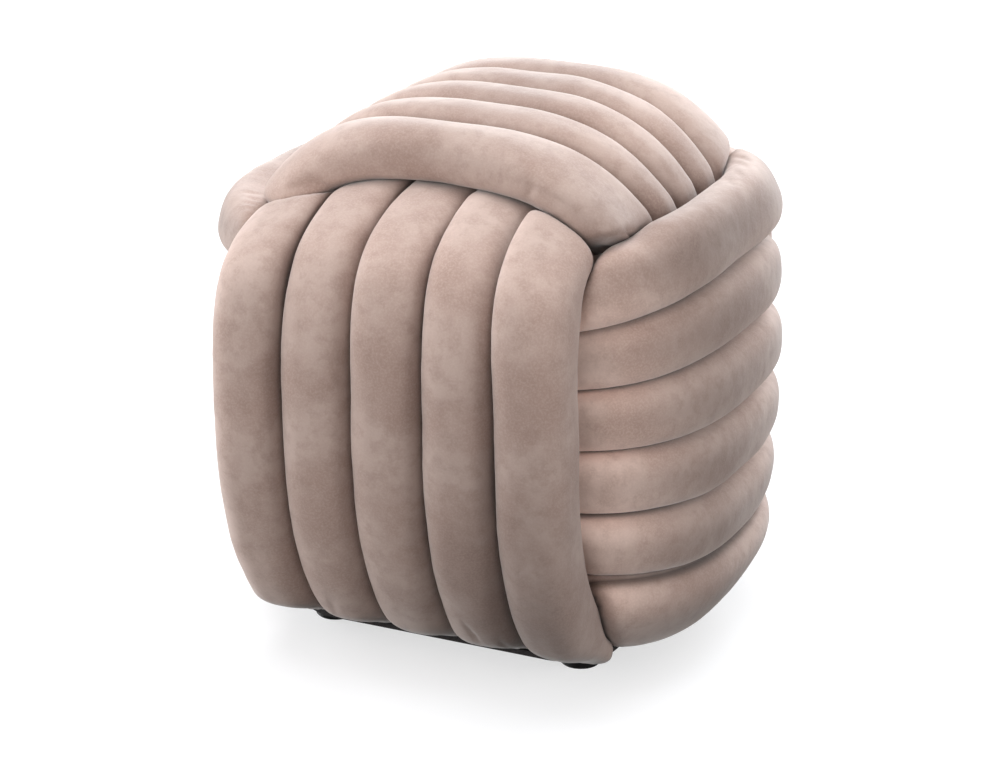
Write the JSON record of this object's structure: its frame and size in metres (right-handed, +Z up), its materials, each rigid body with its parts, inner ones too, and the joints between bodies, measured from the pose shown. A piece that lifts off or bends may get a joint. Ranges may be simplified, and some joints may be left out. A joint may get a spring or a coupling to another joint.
{
  "type": "upholstered pouf",
  "caption": "Cube-shaped velvet pouf woven from thick padded rolls, for use as a low seat or footrest, standing on low round feet",
  "frame": {"origin": "on the floor, under the middle of the pouf", "axes": "+Z up from the feet to the domed top; +X to the side with the level rolls that shows in the picture, along the top rolls; -Y to the front with the upright rolls"},
  "size_m": [0.4463, 0.4746, 0.4433],
  "materials": {
    "velvet": "soft short-pile velvet in dusty taupe pink, darker where the pile turns away",
    "base_cloth": "plain matt dark cloth",
    "foot": "black, lightly satin"
  },
  "bodies": {
    "root": {"top_roll_1": "velvet", "top_roll_2": "velvet", "top_roll_3": "velvet", "top_roll_4": "velvet", "top_roll_5": "velvet", "front_roll_1": "velvet", "front_roll_2": "velvet", "front_roll_3": "velvet", "front_roll_4": "velvet", "front_roll_5": "velvet", "back_roll_1": "velvet", "back_roll_2": "velvet", "back_roll_3": "velvet", "back_roll_4": "velvet", "back_roll_5": "velvet", "right_roll_1": "velvet", "right_roll_2": "velvet", "right_roll_3": "velvet", "right_roll_4": "velvet", "right_roll_5": "velvet", "right_roll_6": "velvet", "left_roll_1": "velvet", "left_roll_2": "velvet", "left_roll_3": "velvet", "left_roll_4": "velvet", "left_roll_5": "velvet", "left_roll_6": "velvet", "base_board": "base_cloth", "foot_front_left": "foot", "foot_front_right": "foot", "foot_back_left": "foot", "foot_back_right": "foot"}
  },
  "joints": []
}
